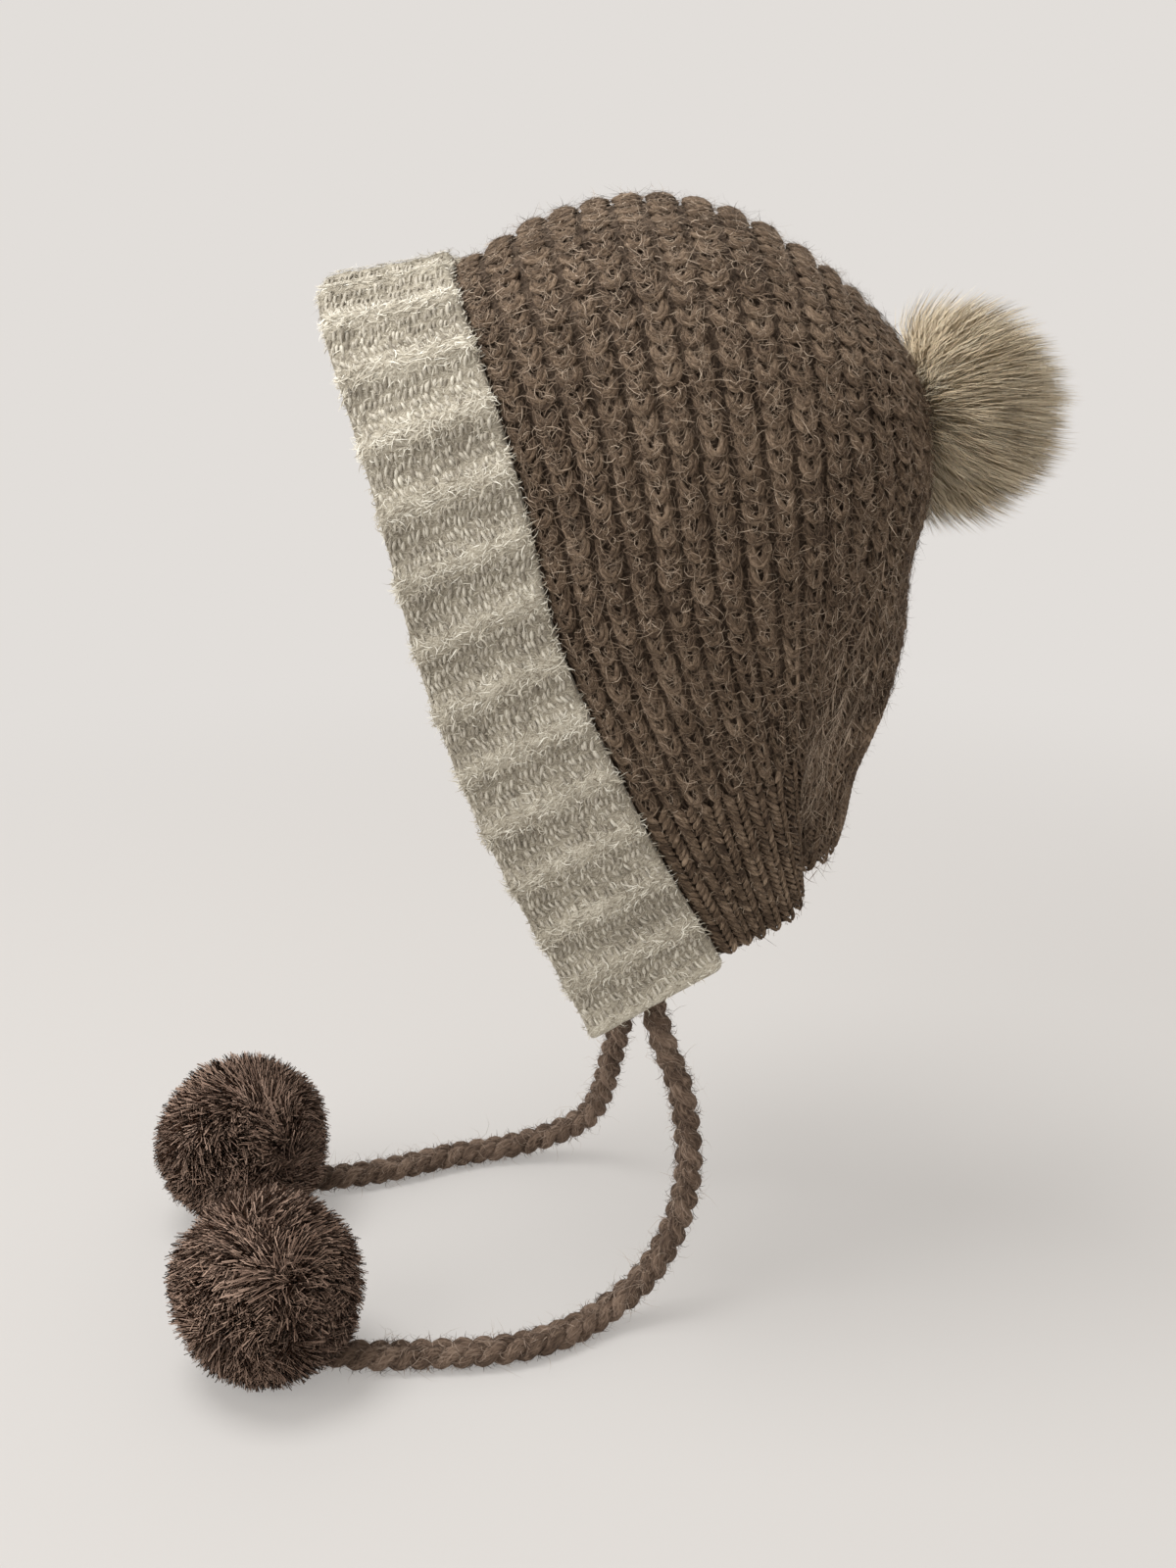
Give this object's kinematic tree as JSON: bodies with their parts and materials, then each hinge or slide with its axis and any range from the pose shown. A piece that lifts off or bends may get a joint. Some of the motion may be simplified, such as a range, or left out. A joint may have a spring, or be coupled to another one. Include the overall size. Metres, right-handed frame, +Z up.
{
  "type": "knit hood with a fur pompom and braided ties",
  "caption": "Knitted pull-on hood with a ribbed turned-back face band, a fur pompom on the crown and braided ties that end in yarn pompoms.",
  "frame": {"origin": "the highest point of the crown's inner face, where the top of a head bears", "axes": "+Z up, -Y the way the face looks, +X the wearer's left"},
  "size_m": [0.2357, 0.3692, 0.437],
  "materials": {
    "brown_knit": "fuzzy waffle-knit yarn with a brushed halo",
    "cream_knit": "brushed heather rib knit",
    "beige_fur": "long straight fur",
    "brown_braid": "braided fuzzy yarn",
    "brown_yarn": "dense cut yarn"
  },
  "bodies": {
    "root": {"hood_shell": "brown_knit", "face_band": "cream_knit", "crown_pompom": "beige_fur", "cord_left": "brown_braid", "cord_right": "brown_braid", "cord_pompom_left": "brown_yarn", "cord_pompom_right": "brown_yarn"}
  },
  "joints": []
}
